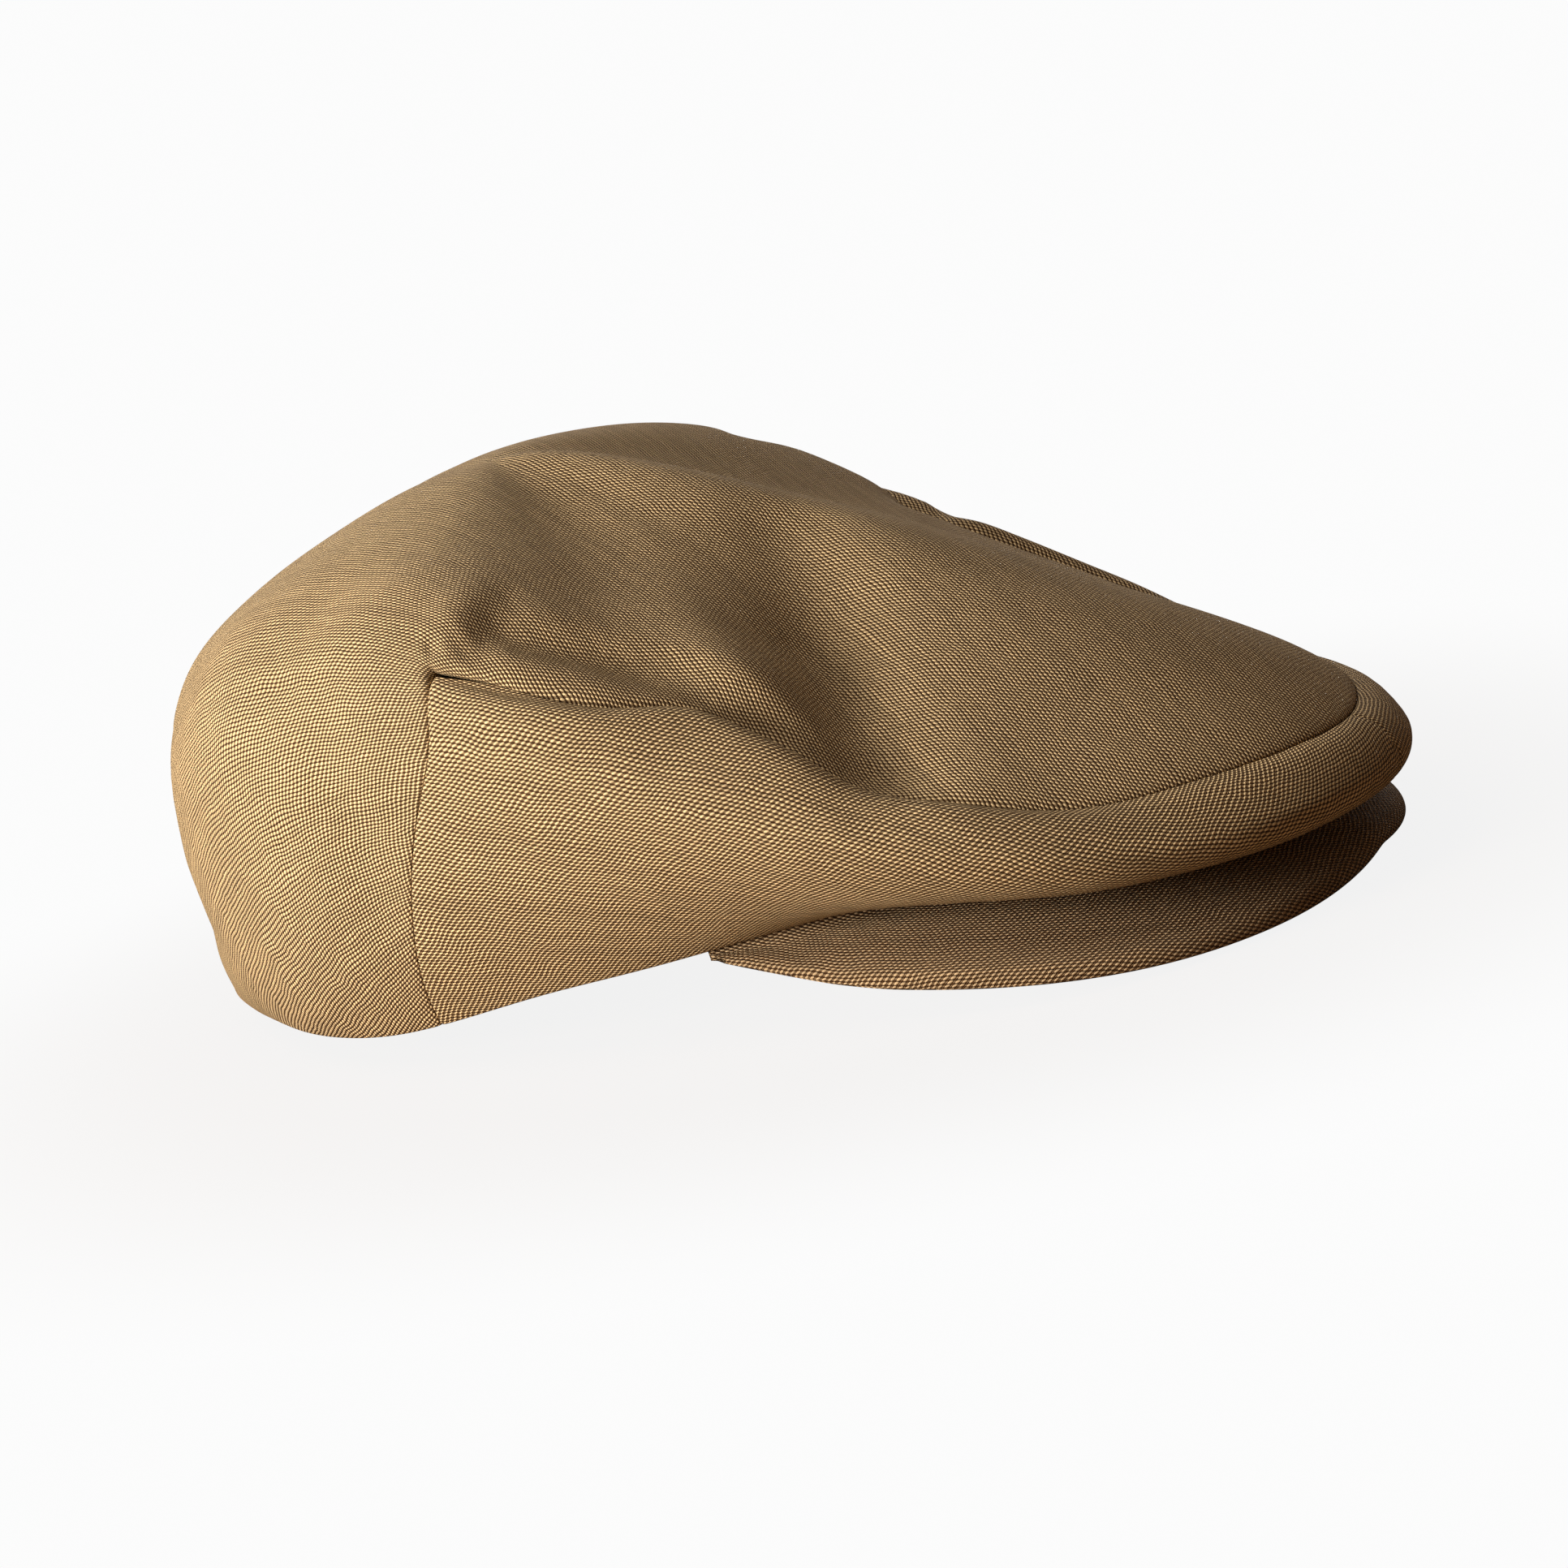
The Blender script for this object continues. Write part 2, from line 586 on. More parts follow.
def wandering(tree, vector, scale, amount):
    """Flat coordinates pushed about a little, as threads wander."""
    drift = tree.nodes.new("ShaderNodeTexNoise")
    drift.noise_dimensions = "2D"
    drift.inputs["Scale"].default_value = scale
    tree.links.new(vector, drift.inputs["Vector"])
    middle = tree.nodes.new("ShaderNodeVectorMath")
    middle.operation = "SUBTRACT"
    middle.inputs[1].default_value = (0.5, 0.5, 0.5)
    tree.links.new(drift.outputs["Color"], middle.inputs[0])
    pushed = tree.nodes.new("ShaderNodeVectorMath")
    pushed.operation = "MULTIPLY_ADD"
    if isinstance(amount, float):
        pushed.inputs[1].default_value = (amount, amount, amount)
    else:
        tree.links.new(amount, pushed.inputs[1])
    tree.links.new(middle.outputs["Vector"], pushed.inputs[0])
    tree.links.new(vector, pushed.inputs[2])
    return pushed.outputs["Vector"]


def chance(tree, x, y):
    """A number from 0 to 1 for each whole pair of x and y."""
    pair = tree.nodes.new("ShaderNodeCombineXYZ")
    tree.links.new(x, pair.inputs["X"])
    tree.links.new(y, pair.inputs["Y"])
    noise = tree.nodes.new("ShaderNodeTexWhiteNoise")
    noise.noise_dimensions = "2D"
    tree.links.new(pair.outputs[0], noise.inputs["Vector"])
    return noise.outputs["Value"]


def mixed(tree, factor, first, second, blend="MIX"):
    node = tree.nodes.new("ShaderNodeMix")
    node.data_type = "RGBA"
    node.blend_type = blend
    for socket, value in zip((node.inputs[0], node.inputs[6], node.inputs[7]), (factor, first, second)):
        if isinstance(value, (int, float, tuple)):
            socket.default_value = value
        else:
            tree.links.new(value, socket)
    return node.outputs[2]


def grey(tree, value):
    node = tree.nodes.new("ShaderNodeCombineColor")
    for socket in node.inputs:
        tree.links.new(value, socket)
    return node.outputs[0]


def linen_weave():
    group, given, result = new_group(
        "linen_weave", {"Vector": None, "Turn": 0.0, "Slant": 0.5,
                        "Yarn": (*LINEN_YARN, 1.0), "Gap": (*LINEN_GAP, 1.0)},
        ["Color", "Height"])
    nodes, links = group.nodes, group.links
    lain = nodes.new("ShaderNodeVectorRotate")
    lain.rotation_type = "Z_AXIS"
    links.new(wandering(group, given.outputs["Vector"], 90.0, 0.0016), lain.inputs["Vector"])
    links.new(given.outputs["Turn"], lain.inputs["Angle"])
    split = nodes.new("ShaderNodeSeparateXYZ")
    links.new(lain.outputs["Vector"], split.inputs[0])
    x = maths(group, "DIVIDE", split.outputs["X"], WARP_PITCH * 2)
    y = maths(group, "DIVIDE", split.outputs["Y"], WEFT_PITCH)
    row = maths(group, "FLOOR", y)
    up = maths(group, "SUBTRACT", maths(group, "SUBTRACT", y, row), 0.5)
    x = maths(group, "MULTIPLY_ADD", row, 0.5, x)
    x = maths(group, "SUBTRACT", x, maths(group, "MULTIPLY", up, given.outputs["Slant"]))
    cell = maths(group, "FLOOR", x)
    along = maths(group, "SUBTRACT", maths(group, "SUBTRACT", x, cell), 0.5)
    tone = maths(group, "MULTIPLY_ADD", chance(group, row, maths(group, "FLOOR", maths(
        group, "MULTIPLY", cell, 0.03))), 0.6, maths(group, "MULTIPLY", chance(group, cell, row), 0.4))

    def float_height(offset, half_length, half_width):
        square = maths(group, "POWER", maths(group, "DIVIDE", offset, half_length), 2.0)
        rest = maths(group, "SUBTRACT", 1.0, maths(group, "ADD", square, maths(
            group, "POWER", maths(group, "DIVIDE", up, half_width), 2.0)))
        return maths(group, "SQRT", maths(group, "MAXIMUM", rest, 0.0))

    weft = float_height(along, 0.46, 0.56)
    between = maths(group, "SUBTRACT", maths(group, "ABSOLUTE", along), 0.5)
    warp = maths(group, "MULTIPLY", float_height(between, 0.20, 0.60), 0.66)
    height = maths(group, "MAXIMUM", weft, warp)
    links.new(height, result.inputs["Height"])
    cover = nodes.new("ShaderNodeMapRange")
    cover.interpolation_type = "SMOOTHSTEP"
    cover.inputs["From Min"].default_value = 0.46
    cover.inputs["From Max"].default_value = 0.86
    links.new(height, cover.inputs["Value"])
    mottle = nodes.new("ShaderNodeTexNoise")
    mottle.inputs["Scale"].default_value = 45.0
    mottle.inputs["Detail"].default_value = 4.0
    links.new(given.outputs["Vector"], mottle.inputs["Vector"])
    tone = maths(group, "MULTIPLY_ADD", tone, 0.30, 0.80)
    tone = maths(group, "MULTIPLY", tone, maths(group, "MULTIPLY_ADD", mottle.outputs["Fac"], 0.18, 0.92))
    base = mixed(group, cover.outputs["Result"], given.outputs["Gap"], given.outputs["Yarn"])
    links.new(mixed(group, 1.0, base, grey(group, tone), "MULTIPLY"), result.inputs["Color"])
    return group


weave = linen_weave()


def new_finish(name):
    """A new material, with its node tree and its main shader."""
    finish = bpy.data.materials.new(name)
    finish.use_nodes = True
    return finish, finish.node_tree, finish.node_tree.nodes["Principled BSDF"]


def grouped(tree, group, vector, values):
    """A node group placed in a tree with its own values."""
    node = tree.nodes.new("ShaderNodeGroup")
    node.node_tree = group
    tree.links.new(vector, node.inputs["Vector"])
    for label, value in values.items():
        node.inputs[label].default_value = value
    return node.outputs


def bumped(tree, shader, height, strength, distance):
    bump = tree.nodes.new("ShaderNodeBump")
    bump.inputs["Strength"].default_value = strength
    bump.inputs["Distance"].default_value = distance
    tree.links.new(height, bump.inputs["Height"])
    tree.links.new(bump.outputs["Normal"], shader.inputs["Normal"])


def flat_coordinates(tree):
    node = tree.nodes.new("ShaderNodeUVMap")
    node.uv_map = "cloth"
    return node.outputs["UV"]


def linen(name, yarn, turn):
    finish, tree, shader = new_finish(name)
    cloth = grouped(tree, weave, flat_coordinates(tree), {"Turn": turn, "Yarn": (*yarn, 1.0)})
    tree.links.new(cloth["Color"], shader.inputs["Base Color"])
    bumped(tree, shader, cloth["Height"], 1.0, 0.0008)
    shader.inputs["Roughness"].default_value = 0.82
    shader.inputs["Specular IOR Level"].default_value = 0.06
    shader.inputs["Sheen Weight"].default_value = 0.02
    shader.inputs["Sheen Roughness"].default_value = 0.5
    return finish


FORWARD = (0.0, -1.0, 0.0)
top_linen = linen("top_linen", LINEN_YARN, radians(35))


def columns_round(front_length, front_cells, back_length, back_cells):
    """Angles right round the cap, closer at the side seams, and which of them lie behind those."""
    front = SIDE_SEAM * spaced(front_length, front_cells)
    back = SIDE_SEAM + (180 - SIDE_SEAM) * spaced(back_length, back_cells, end=False)
    half = np.concatenate([front, back[1:]])
    columns = np.concatenate([half, 360 - half[1:-1][::-1]])
    return columns, range(len(front) - 1, len(columns) - len(front) + 1)


def top_panel():
    columns, behind = columns_round(190, 50, 125, 32)
    wall = spaced(75, 22, start=False)
    roof = spaced(130, 44, end=False)
    low = top_seam(np.minimum(np.minimum(columns, 360 - columns), SIDE_SEAM))
    v = np.array([low * share for share in wall] + [low + (2 - low) * share for share in roof[1:]])
    p = np.broadcast_to(columns, v.shape)
    in_back = lambda r, c: r >= len(wall) - 1 or c in behind
    return crown_panel("crown_top_panel", p, v, top_linen, FORWARD, closed=True, has=in_back)


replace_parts(top_panel(), "top_panel")

# ---------------------------------------------------------------- the side panels
# On each side a band of linen starts at the side seam above the ear, runs forward and wraps round
# the nose, where the two meet in the centre-front seam. Its upper edge rolls over the top seam.
side_linen = linen("side_linen", LINEN_YARN, radians(22))


def side_panel(name, mirrored):
    columns = SIDE_SEAM * spaced(230, 70)
    v = spaced(75, 26, start=False)[:, None] * top_seam(columns)[None, :]
    p = np.broadcast_to(-columns if mirrored else columns, v.shape)
    if mirrored:
        p, v = p[:, ::-1], v[:, ::-1]
    return crown_panel(name, p, v, side_linen, FORWARD)


for side, mirrored in (("right", False), ("left", True)):
    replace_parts(side_panel(f"crown_side_panel_{side}", mirrored), f"side_panel_{side}")

# ---------------------------------------------------------------- the visor's covers
# A stiff board lies between two covers of the same linen, cut on another grain. They are sewn
# together along the rim and turned, and their inner edges stand up inside the crown's hem.
VISOR_LENGTH = 43.0
VISOR_HALF_WIDTH = 103.0
VISOR_DROP = 21.0
VISOR_CORNER = 70.0  # degrees round, where the visor's ends are sewn in
VISOR_SEAT = 1.5
VISOR_CROWNING = 1.5
VISOR_SHAPE = 0.88  # below 1, the outline is fuller than an ellipse
VISOR_SPREAD = 1.6  # how soon the outline leaves the corners
VISOR_WING = 0.17  # share of the drop by which the visor's sides hang lower
VISOR_FULL_WIDTH = 26.0  # where the visor is narrower than this, the covers and the board thin out
VISOR_STACK = 4.0
VISOR_FLANGE = 9.0
VISOR_YARN = (0.56, 0.37, 0.19)  # the fronts of caps are handled, and this one has darkened
visor_linen = linen("visor_linen", VISOR_YARN, radians(38))


def visor_inner(tau):
    u = tau / 90 * VISOR_CORNER
    return polar(u, opening_radius(u), np.zeros_like(u))


def visor_outer(tau):
    corner = visor_inner(np.array(90.0))
    s, c = np.sin(np.radians(tau)), np.abs(np.cos(np.radians(tau)))
    spread = np.sin(np.radians(np.minimum(90, (90 - np.abs(tau)) * VISOR_SPREAD)))
    half = -corner[0] + (VISOR_HALF_WIDTH + corner[0]) * spread
    reach = opening_radius(0.0) + VISOR_LENGTH + corner[1]
    return np.stack([-half * np.sign(s) * np.abs(s) ** VISOR_SHAPE,
                     corner[1] - reach * c**VISOR_SHAPE, np.zeros_like(s)], -1)


def on_visor(tau, t, depth):
    """The visor's faces: tau runs from corner to corner, t from the crown (0) to the rim (1)."""
    point = visor_inner(tau) + (visor_outer(tau) - visor_inner(tau)) * t[:, None]
    c = np.clip(np.cos(np.radians(tau)), 0, 1)
    wing = VISOR_WING * VISOR_DROP * np.abs(np.sin(np.radians(2 * tau))) ** 0.8
    crowning = VISOR_CROWNING * np.sin(pi * t) * np.sqrt(c)
    seat = VISOR_SEAT * np.clip((90 - np.abs(tau)) / 12, 0.1, 1)
    point[:, 2] = -seat - (VISOR_DROP * c + wing) * t + crowning - depth
    return point


visor_taus = np.concatenate([[-88, -87, -85.5], np.linspace(-84, 84, 113), [85.5, 87, 88]])
visor_width = np.linalg.norm(visor_outer(visor_taus) - visor_inner(visor_taus), axis=-1)
visor_slim = np.clip(visor_width / VISOR_FULL_WIDTH, 0.06, 1) ** 0.8
rim_reach = visor_outer(visor_taus) - visor_inner(visor_taus)
rim_reach /= np.linalg.norm(rim_reach, axis=-1, keepdims=True)


def visor_row(inset, depth):
    t = 1 - np.minimum(inset * visor_slim / visor_width, 1)
    return on_visor(visor_taus, t, depth * visor_slim)


def visor_rim(angle):
    """A row round the rim's half round, from its top (90) to its underside (-90)."""
    radius = VISOR_STACK / 2
    row = visor_row(radius * (1 - cos(radians(angle))), radius * (1 - sin(radians(angle))))
    return row


def visor_flange(depth, height):
    u = visor_taus / 90 * VISOR_CORNER
    return polar(u, opening_radius(u) - depth, height)


def visor_cover(name, node, rows):
    points = np.array(rows)
    faces = grid_faces(*points.shape[:2])
    obj = sewn_object(name, placed(points.reshape(-1, 3)), faces, visor_linen)
    flatten(obj, (1.0, 0.0, 0.0))
    soften(obj)
    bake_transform(obj)
    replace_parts(obj, node)


RIM_SEAM = -50  # degrees round the rim, where the two covers meet
shares = np.linspace(0, 1, 22)[1:]
inner_rows = [visor_flange(1.5, VISOR_FLANGE), visor_flange(1.5, 3.0), visor_flange(1.4, -0.6)]
face_rows = [on_visor(visor_taus, (1 - 2 * visor_slim / visor_width) * share, 0.0)
             for share in shares]
rim_rows = [visor_rim(angle) for angle in (65, 40, 15, -10, -35, RIM_SEAM)]
tuck = [visor_row(2.2, 2.6)]
visor_cover("visor_top_linen", "visor_top_cover", inner_rows + face_rows + rim_rows + tuck)

under_rows = [on_visor(visor_taus, (1 - 2 * visor_slim / visor_width) * share, VISOR_STACK * visor_slim)
              for share in shares]
foot_rows = [visor_flange(1.8, VISOR_FLANGE), visor_flange(1.8, 3.0), visor_flange(1.8, -2.0)]
rim_rows = [visor_rim(angle) for angle in (-88, -70, RIM_SEAM - 2)]
visor_cover("visor_under_linen", "visor_under_cover", foot_rows + under_rows + rim_rows + tuck)

# ---------------------------------------------------------------- the visor's board
# A sheet of white plastic card gives the visor its curve. It is cut a little smaller than the
# covers that hold it, with rounded ends, and has a fine moulded grain.
BOARD_THICKNESS = 1.6
BOARD_TOP = 1.2
BOARD_MARGIN = 2.6
board_plastic, tree, shader = new_finish("board_plastic")
spot = tree.nodes.new("ShaderNodeTexCoord")
grain = tree.nodes.new("ShaderNodeTexNoise")
grain.inputs["Scale"].default_value = 900.0
grain.inputs["Detail"].default_value = 3.0
tree.links.new(spot.outputs["Object"], grain.inputs["Vector"])
tree.links.new(mixed(tree, grain.outputs["Fac"], (0.70, 0.69, 0.66, 1), (0.80, 0.79, 0.76, 1)),
               shader.inputs["Base Color"])
bumped(tree, shader, grain.outputs["Fac"], 0.3, 0.0001)
shader.inputs["Roughness"].default_value = 0.45

within = np.abs(visor_taus) < 74
board_rows = []
for share, depth in ((0, BOARD_TOP), *[(s, BOARD_TOP) for s in np.linspace(0, 1, 9)[1:]],
                     *[(s, BOARD_TOP + BOARD_THICKNESS) for s in np.linspace(1, 0, 9)], (0, BOARD_TOP)):
    inset = BOARD_MARGIN / visor_width
    board_rows.append(on_visor(visor_taus, inset + (1 - 2 * inset) * share, depth * visor_slim)[within])
board_points = np.array(board_rows)
rows, columns = board_points.shape[:2]
faces = grid_faces(rows, columns)
for column, order in ((0, 1), (columns - 1, -1)):
    half = rows // 2
    for r in range(half - 1):
        corners = (r, r + 1, rows - 2 - r, rows - 1 - r)
        faces.append(tuple(i * columns + column for i in corners)[::order])
board = sewn_object("visor_board_card", placed(board_points.reshape(-1, 3)), faces, board_plastic)
form = bmesh.new()
form.from_mesh(board.data)
bmesh.ops.remove_doubles(form, verts=form.verts, dist=1e-6)
bmesh.ops.recalc_face_normals(form, faces=form.faces)
form.to_mesh(board.data)
form.free()
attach(board, "visor")
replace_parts(board, "visor_board")

# ---------------------------------------------------------------- the snap fastener
# Four pieces of pressed brass hold the nose down on the visor: a cap and a socket through the
# crown, a stud and its base through the visor. The brass has gone dull, and is bright where it rubs.
snap_brass, tree, shader = new_finish("snap_brass")
spot = tree.nodes.new("ShaderNodeTexCoord")
tarnish = tree.nodes.new("ShaderNodeTexNoise")
tarnish.inputs["Scale"].default_value = 700.0
tarnish.inputs["Detail"].default_value = 5.0
tree.links.new(spot.outputs["Object"], tarnish.inputs["Vector"])
tree.links.new(mixed(tree, tarnish.outputs["Fac"], (0.50, 0.36, 0.16, 1), (0.30, 0.20, 0.09, 1)),
               shader.inputs["Base Color"])
tree.links.new(maths(tree, "MULTIPLY_ADD", tarnish.outputs["Fac"], 0.3, 0.22), shader.inputs["Roughness"])
bumped(tree, shader, tarnish.outputs["Fac"], 0.15, 0.00005)
shader.inputs["Metallic"].default_value = 1.0
for part in ("snap_cap", "snap_socket", "snap_stud", "snap_stud_base"):
    frame["nodes"][part].material_slots[0].material = snap_brass

# ---------------------------------------------------------------- the lining
# Three panels of brown satin, cut like the shell, hang from the top of the sweatband. The satin
# lies a few millimetres inside the linen and follows its folds.
CLOTH = 1.2
LINING = 0.6
BAND_HEIGHT = 30.0
BAND = 1.2
TAPE = 0.7
TAPE_DEPTH = 2.0
BAND_DEPTH = 3.0
LINING_SEAM = 0.4
LINING_START = BAND_HEIGHT + 0.9
LINING_DROP = CLOTH + 2.0
LINING_SINK = 1.15  # the lining's folds are this much deeper than the linen's
LINING_SLACK = 0.6  # and it hangs this much further in


def band_radius(u, z, depth):
    """Radius of the band inside the opening: upright in front, along the wall at the back."""
    k = folded(u)
    hem, widest = crown_at["hem"](k), crown_at["widest"](k)
    t = np.clip((z - hem) / np.maximum(widest - hem, 1), 0, 1)
    upright = opening_radius(u) - depth
    leaning = wall_radius(u, t) - depth - CLOTH / 2
    return np.where(k > 90, np.minimum(upright, leaning), upright)


def on_lining(u, w):
    radius = band_radius(u, BAND_HEIGHT, BAND_DEPTH + BAND / 2 - LINING / 2) * (1 - w)
    roof = roof_height(u, radius / wall_radius(u, np.ones_like(w))) - LINING_DROP
    point = polar(u, radius, LINING_START + (roof - LINING_START) * (1 - (1 - w) ** 3))
    point[..., 1] += PEAK_SETBACK * w
    return point


def satin(name, dark, light):
    """Satin: fine floats along the thread, so it shines along them, with a faint slub."""
    finish, tree, shader = new_finish(name)
    stretch = tree.nodes.new("ShaderNodeMapping")
    stretch.inputs["Scale"].default_value = (250.0, 4200.0, 1.0)
    tree.links.new(flat_coordinates(tree), stretch.inputs["Vector"])
    floats = tree.nodes.new("ShaderNodeTexNoise")
    floats.noise_dimensions = "2D"
    floats.inputs["Scale"].default_value = 1.0
    floats.inputs["Detail"].default_value = 2.0
    tree.links.new(stretch.outputs["Vector"], floats.inputs["Vector"])
    tree.links.new(mixed(tree, floats.outputs["Fac"], dark, light), shader.inputs["Base Color"])
    dull = maths(tree, "MULTIPLY_ADD", floats.outputs["Fac"], 0.25, 0.28)
    tree.links.new(dull, shader.inputs["Roughness"])
    bumped(tree, shader, floats.outputs["Fac"], 0.35, 0.0001)
    shader.inputs["Sheen Weight"].default_value = 0.1
    return finish


lining_satin = satin("lining_satin", (0.085, 0.058, 0.038, 1), (0.16, 0.11, 0.075, 1))


def lining_panel(name, p, w, closed=False, has=lambda r, c: True):
    points = on_lining(p, w)
    normals = grid_normals(points, closed)
    sink = np.maximum(fold_depth(points), 0) * LINING_SINK
    hang = np.clip(w / 0.15, 0, 1)
    points -= normals * ((sink + LINING_SLACK) * hang)[..., None]
    rows, columns = points.shape[:2]
    faces = grid_faces(rows, columns, closed, has)
    obj = sewn_object(name, placed(points.reshape(-1, 3)), faces, lining_satin)
    turn_in(obj, -turned(normals.reshape(-1, 3)), 0, 1.0)
    flatten(obj, FORWARD)
    soften(obj)
    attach(obj, "crown")
    return obj


def lining_top():
    columns, behind = columns_round(120, 34, 90, 22)
    wall = LINING_SEAM * spaced(50, 12, start=False)
    roof = LINING_SEAM + (1 - LINING_SEAM) * spaced(80, 24, end=False)
    w = np.concatenate([wall, roof[1:]])[:, None] * np.ones(len(columns))[None, :]
    p = np.broadcast_to(columns, w.shape)
    in_back = lambda r, c: r >= len(wall) - 1 or c in behind
    return lining_panel("satin_lining_top", p, w, closed=True, has=in_back)


def lining_side(name, mirrored):
    columns = SIDE_SEAM * spaced(120, 34)
    w = LINING_SEAM * spaced(50, 12, start=False)[:, None] * np.ones(len(columns))[None, :]
    p = np.broadcast_to(-columns[::-1] if mirrored else columns, w.shape)
    return lining_panel(name, p, w)


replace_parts(lining_top(), "lining_top")
for side, mirrored in (("right", False), ("left", True)):
    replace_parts(lining_side(f"satin_lining_{side}", mirrored), f"lining_side_{side}")

# ---------------------------------------------------------------- the tape and the sweatband
# A canvas tape stiffens the opening, and a twill sweatband is sewn over it with two rows of
# stitches. Both run right round, upright in front and leaning with the crown at the back.
RING_COLUMNS = 180
ring_angles = np.arange(RING_COLUMNS) * 360 / RING_COLUMNS


def band_ring(name, node, depth, thickness, low, high, finish):
    """A closed band with rounded edges, its flat coordinates running along it."""
    half = thickness / 2
    hem = crown_at["hem"](folded(ring_angles))
    foot = np.maximum(low, hem + low + 1.0)
    section = []
    for share in np.linspace(0, 1, 9):
        section.append((half, share, 0.0))
    for angle in (45, 90, 135):
        section.append((half * cos(radians(angle)), 1.0, half * sin(radians(angle))))
    for share in np.linspace(1, 0, 9):
        section.append((-half, share, 0.0))
    for angle in (225, 270, 315):
        section.append((half * cos(radians(angle)), 0.0, half * sin(radians(angle))))
    rows = []
    for offset, share, over in section:
        z = foot + half + (high - half - foot - half) * share + over
        rows.append(polar(ring_angles, band_radius(ring_angles, z, depth + half + offset), z))
    rows.append(rows[0])
    points = np.array(rows)
    count, columns = points.shape[:2]
    obj = sewn_object(name, placed(points.reshape(-1, 3)), grid_faces(count, columns, True), finish)
    around = np.append(0, np.cumsum(np.linalg.norm(np.roll(points[0], -1, 0) - points[0], axis=1)))
    along = np.append(0, np.cumsum(np.linalg.norm(np.diff(points[:, 0], axis=0), axis=1)))
    flat = obj.data.uv_layers.new(name="cloth").data
    for face in obj.data.polygons:
        for loop in face.loop_indices:
            r, c = divmod(obj.data.loops[loop].vertex_index, columns)
            seam = c == 0 and any(obj.data.loops[i].vertex_index % columns > 1 for i in face.loop_indices)
            flat[loop].uv = (around[columns if seam else c] / 1000, along[r] / 1000)
    form = bmesh.new()
    form.from_mesh(obj.data)
    bmesh.ops.remove_doubles(form, verts=form.verts, dist=1e-6)
    bmesh.ops.recalc_face_normals(form, faces=form.faces)
    form.to_mesh(obj.data)
    form.free()
    obj.data.shade_smooth()
    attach(obj, "crown")
    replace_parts(obj, node)
    return obj


def ribbed_weave():
    """Ribs crossed by finer threads. Each runs across its own direction in the flat coordinates."""
    group, given, result = new_group(
        "ribbed_weave", {"Vector": None, "Wander": 0.0, "Rib X": 0.0, "Rib Y": 0.0, "Thread X": 0.0,
                         "Thread Y": 0.0, "Thread Share": 0.35}, ["Height"])
    split = group.nodes.new("ShaderNodeSeparateXYZ")
    lain = wandering(group, given.outputs["Vector"], 200.0, given.outputs["Wander"])
    group.links.new(lain, split.inputs[0])
    waves = []
    for kind in ("Rib", "Thread"):
        slow = maths(group, "MULTIPLY", split.outputs["X"], given.outputs[f"{kind} X"])
        phase = maths(group, "MULTIPLY_ADD", split.outputs["Y"], given.outputs[f"{kind} Y"], slow)
        waves.append(maths(group, "ABSOLUTE", maths(group, "SINE", phase)))
    height = maths(group, "MULTIPLY_ADD", waves[1], given.outputs["Thread Share"], waves[0])
    group.links.new(height, result.inputs["Height"])
    return group


ribs = ribbed_weave()


def twill(name, dark, light, pitch, slope):
    """Twill, or plain canvas where the slope is nought."""
    finish, tree, shader = new_finish(name)
    height = grouped(tree, ribs, flat_coordinates(tree), {
        "Wander": 0.0005, "Rib X": pi / pitch, "Rib Y": slope * pi / pitch,
        "Thread Y": 1.3 * pi / pitch})["Height"]
    share = maths(tree, "DIVIDE", height, 1.35)
    tree.links.new(mixed(tree, share, dark, light), shader.inputs["Base Color"])
    bumped(tree, shader, height, 0.8, 0.0002)
    shader.inputs["Roughness"].default_value = 0.85
    return finish


band_twill = twill("band_twill", (0.012, 0.009, 0.007, 1), (0.055, 0.040, 0.030, 1), 0.0006, 1.0)
tape_canvas = twill("tape_canvas", (0.42, 0.38, 0.30, 1), (0.75, 0.70, 0.60, 1), 0.0005, 0.0)
band_ring("canvas_tape", "band_tape", TAPE_DEPTH, TAPE, 2.0, 28.0, tape_canvas)
band_ring("twill_sweatband", "sweatband", BAND_DEPTH, BAND, 0.3, BAND_HEIGHT, band_twill)

thread_finish, tree, shader = new_finish("sewing_thread")
spot = tree.nodes.new("ShaderNodeTexCoord")
ply = tree.nodes.new("ShaderNodeTexWave")
ply.inputs["Scale"].default_value = 1400.0
ply.inputs["Distortion"].default_value = 1.0
tree.links.new(spot.outputs["Object"], ply.inputs["Vector"])
tree.links.new(mixed(tree, ply.outputs["Fac"], (0.20, 0.13, 0.07, 1), (0.42, 0.29, 0.16, 1)),
               shader.inputs["Base Color"])
bumped(tree, shader, ply.outputs["Fac"], 0.5, 0.00005)
shader.inputs["Roughness"].default_value = 0.6


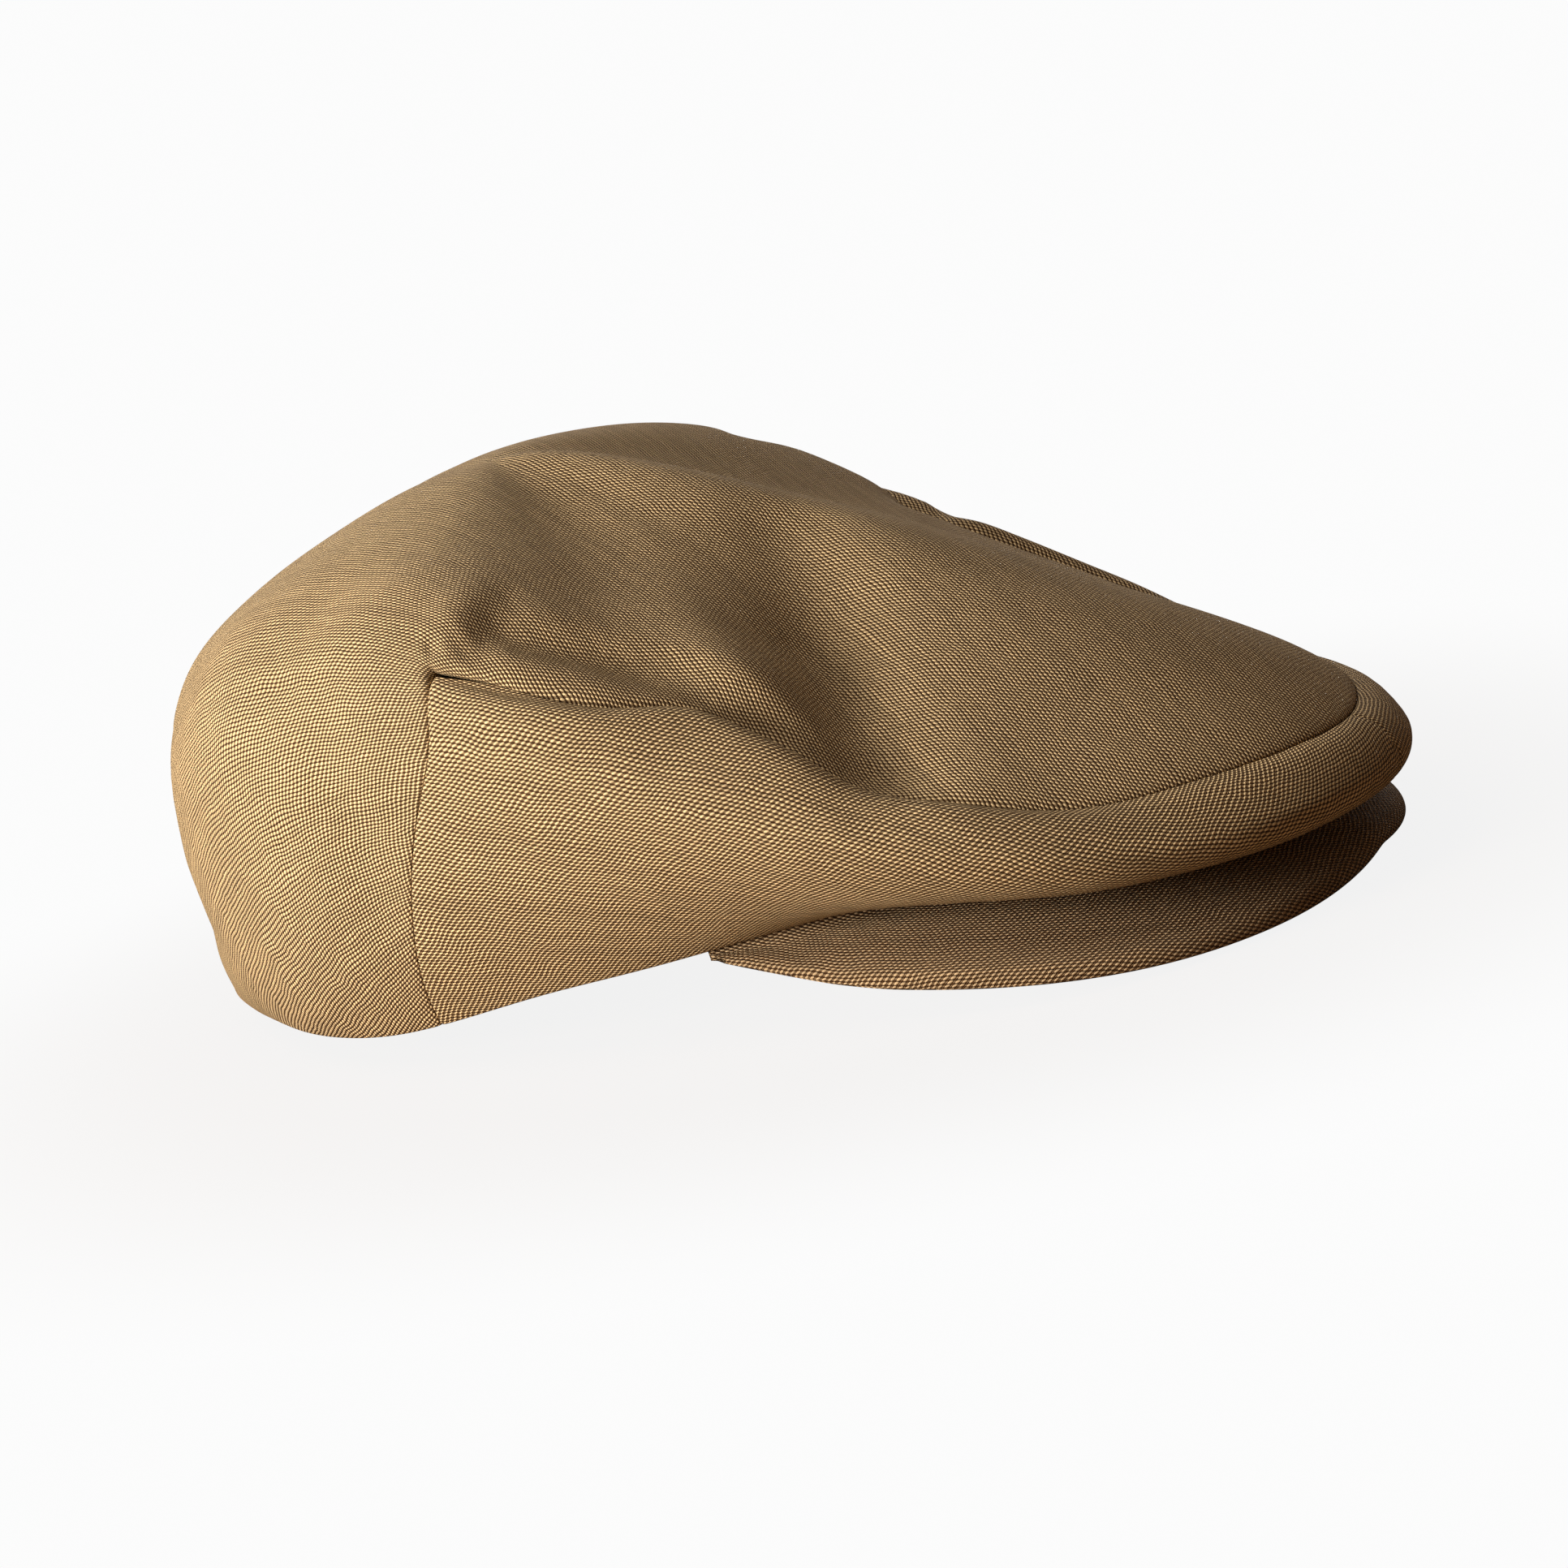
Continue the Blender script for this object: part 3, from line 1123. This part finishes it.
def stitches(name, path, body, length=2.2, gap=1.0, radius=0.22):
    """A row of stitches along a path of points: short threads that dive into the cloth."""
    steps = np.linalg.norm(np.diff(path, axis=0), axis=1)
    walked = np.append(0, np.cumsum(steps))
    count = max(1, int(walked[-1] / (length + gap)))
    points, faces = [], []
    SIDES, RINGS = 6, 5
    for i in range(count):
        spots = (i + 0.5) * walked[-1] / count + np.linspace(-0.5, 0.5, RINGS) * length
        line = np.stack([np.interp(spots, walked, path[:, a]) for a in range(3)], -1)
        ahead = line[-1] - line[0]
        ahead /= np.linalg.norm(ahead)
        inward = -line[2] * np.array([1, 1, 0])
        inward /= np.linalg.norm(inward)
        side = np.cross(ahead, inward)
        base = len(points)
        for r, share in enumerate(np.linspace(-1, 1, RINGS)):
            centre = line[r] + inward * (0.12 - 0.42 * share**4)
            for a in np.arange(SIDES) * 2 * pi / SIDES:
                points.append(centre + (inward * cos(a) + side * sin(a)) * radius)
        for r in range(RINGS - 1):
            for a in range(SIDES):
                b = (a + 1) % SIDES
                first, second = base + r * SIDES, base + (r + 1) * SIDES
                faces.append((first + a, first + b, second + b, second + a))
        faces.append(tuple(base + a for a in range(SIDES))[::-1])
        faces.append(tuple(base + (RINGS - 1) * SIDES + a for a in range(SIDES)))
    obj = sewn_object(name, placed(np.array(points)), faces, thread_finish)
    obj.data.shade_smooth()
    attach(obj, body)
    return obj


around = np.linspace(0, 360, 721)
for name, z in (("upper_stitches", BAND_HEIGHT - 2.5), ("lower_stitches", 3.2)):
    level = np.maximum(z, crown_at["hem"](folded(around)) + z + (1.0 if z < 10 else 0))
    row = polar(around, band_radius(around, level, BAND_DEPTH + BAND), level)
    stitches(f"sweatband_{name}", row, "crown")

# ---------------------------------------------------------------- the labels
# A blank woven label is sewn to the lining behind the peak. A blank care ribbon is sewn by its top
# edge to the sweatband, inside on the left, and flips up.
LABEL_WIDTH = 24.0
LABEL_HEIGHT = 22.0
LABEL_THICKNESS = 0.5
LABEL_ANGLE = 235.0


def label_weave():
    """Fine ribs across the label, and a plain border line set in from its edge."""
    group, given, result = new_group(
        "label_weave", {"Vector": None, "Inset": 0.1, "Ground": (1.0, 1.0, 1.0, 1.0),
                        "Border": (0.0, 0.0, 0.0, 1.0)}, ["Color", "Height"])
    split = group.nodes.new("ShaderNodeSeparateXYZ")
    group.links.new(given.outputs["Vector"], split.inputs[0])
    edges = []
    for axis in ("X", "Y"):
        middle = maths(group, "ABSOLUTE", maths(group, "SUBTRACT", split.outputs[axis], 0.5))
        edges.append(maths(group, "SUBTRACT", 0.5, middle))
    nearest = maths(group, "MINIMUM", *edges)
    line = maths(group, "COMPARE", nearest, given.outputs["Inset"], 0.018)
    weft = grouped(group, ribs, given.outputs["Vector"], {
        "Rib Y": 150.0, "Thread X": 260.0, "Thread Share": 0.4})["Height"]
    base = mixed(group, line, given.outputs["Ground"], given.outputs["Border"])
    shade = grey(group, maths(group, "MULTIPLY_ADD", weft, 0.25, 0.70))
    group.links.new(mixed(group, 1.0, base, shade, "MULTIPLY"), result.inputs["Color"])
    group.links.new(maths(group, "ADD", weft, line), result.inputs["Height"])
    return group


bordered = label_weave()


def woven_label(name, ground, border, inset):
    finish, tree, shader = new_finish(name)
    cloth = grouped(tree, bordered, flat_coordinates(tree), {
        "Inset": inset, "Ground": ground, "Border": border})
    tree.links.new(cloth["Color"], shader.inputs["Base Color"])
    bumped(tree, shader, cloth["Height"], 0.5, 0.00012)
    shader.inputs["Roughness"].default_value = 0.55
    return finish


def label_piece(name, points, finish, body, node):
    rows, columns = points.shape[:2]
    obj = sewn_object(name, placed(points.reshape(-1, 3)), grid_faces(rows, columns), finish)
    flat = obj.data.uv_layers.new(name="cloth").data
    for loop in obj.data.loops:
        r, c = divmod(loop.vertex_index, columns)
        flat[loop.index].uv = (c / (columns - 1), r / (rows - 1))
    thick = obj.modifiers.new("thickness", "SOLIDIFY")
    thick.thickness = LABEL_THICKNESS / 1000
    thick.offset = 0.0
    obj.data.shade_smooth()
    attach(obj, body)
    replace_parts(obj, node)
    return obj


maker_weave = woven_label("maker_label_weave", (0.78, 0.72, 0.60, 1), (0.22, 0.13, 0.07, 1), 0.10)
care_weave = woven_label("care_label_weave", (0.82, 0.80, 0.75, 1), (0.60, 0.58, 0.54, 1), 0.07)

shares, angles = np.meshgrid(np.linspace(0.5, 0.75, 21), np.linspace(165, 195, 31), indexing="ij")
lie = on_lining(angles, shares)
out = grid_normals(lie, False)
sink = np.maximum(fold_depth(lie), 0) * LINING_SINK + LINING_SLACK
lie = lie - out * (sink + LABEL_THICKNESS + 0.3)[..., None]
label_piece("maker_label_blank", lie, maker_weave, "crown", "maker_label")
rim = np.concatenate([lie[1, 1:-1], lie[1:-1, -2], lie[-2, 1:-1][::-1], lie[1:-1, 1][::-1]])
rim = rim - out.mean((0, 1)) * 0.2
stitches("maker_label_stitches", rim, "crown", 1.6, 1.2, 0.15)

sag = LABEL_WIDTH**2 / 8 / opening_radius(LABEL_ANGLE)
label_radius = band_radius(LABEL_ANGLE, BAND_HEIGHT, BAND_DEPTH + BAND + 0.3) - sag - LABEL_THICKNESS
ends = [polar(LABEL_ANGLE + d, opening_radius(LABEL_ANGLE + d), 0.0) for d in (-1, 1)]
across = (ends[1] - ends[0]) / np.linalg.norm(ends[1] - ends[0])
drop, side = np.meshgrid(np.linspace(0, LABEL_HEIGHT, 19), np.linspace(-0.5, 0.5, 21), indexing="ij")
hung = polar(LABEL_ANGLE, label_radius, 0.0) + side[..., None] * LABEL_WIDTH * across
inward = np.array([-across[1], across[0], 0.0])
inward *= -np.sign(inward @ polar(LABEL_ANGLE, 1.0, 0.0))
curl = 0.8 * (drop / LABEL_HEIGHT) ** 2 + 0.25 * np.sin(side * 7) * drop / LABEL_HEIGHT
hung = hung + inward * curl[..., None]
hung[..., 2] = BAND_HEIGHT - drop
label_piece("care_label_blank", hung, care_weave, "care_label", "care_label")
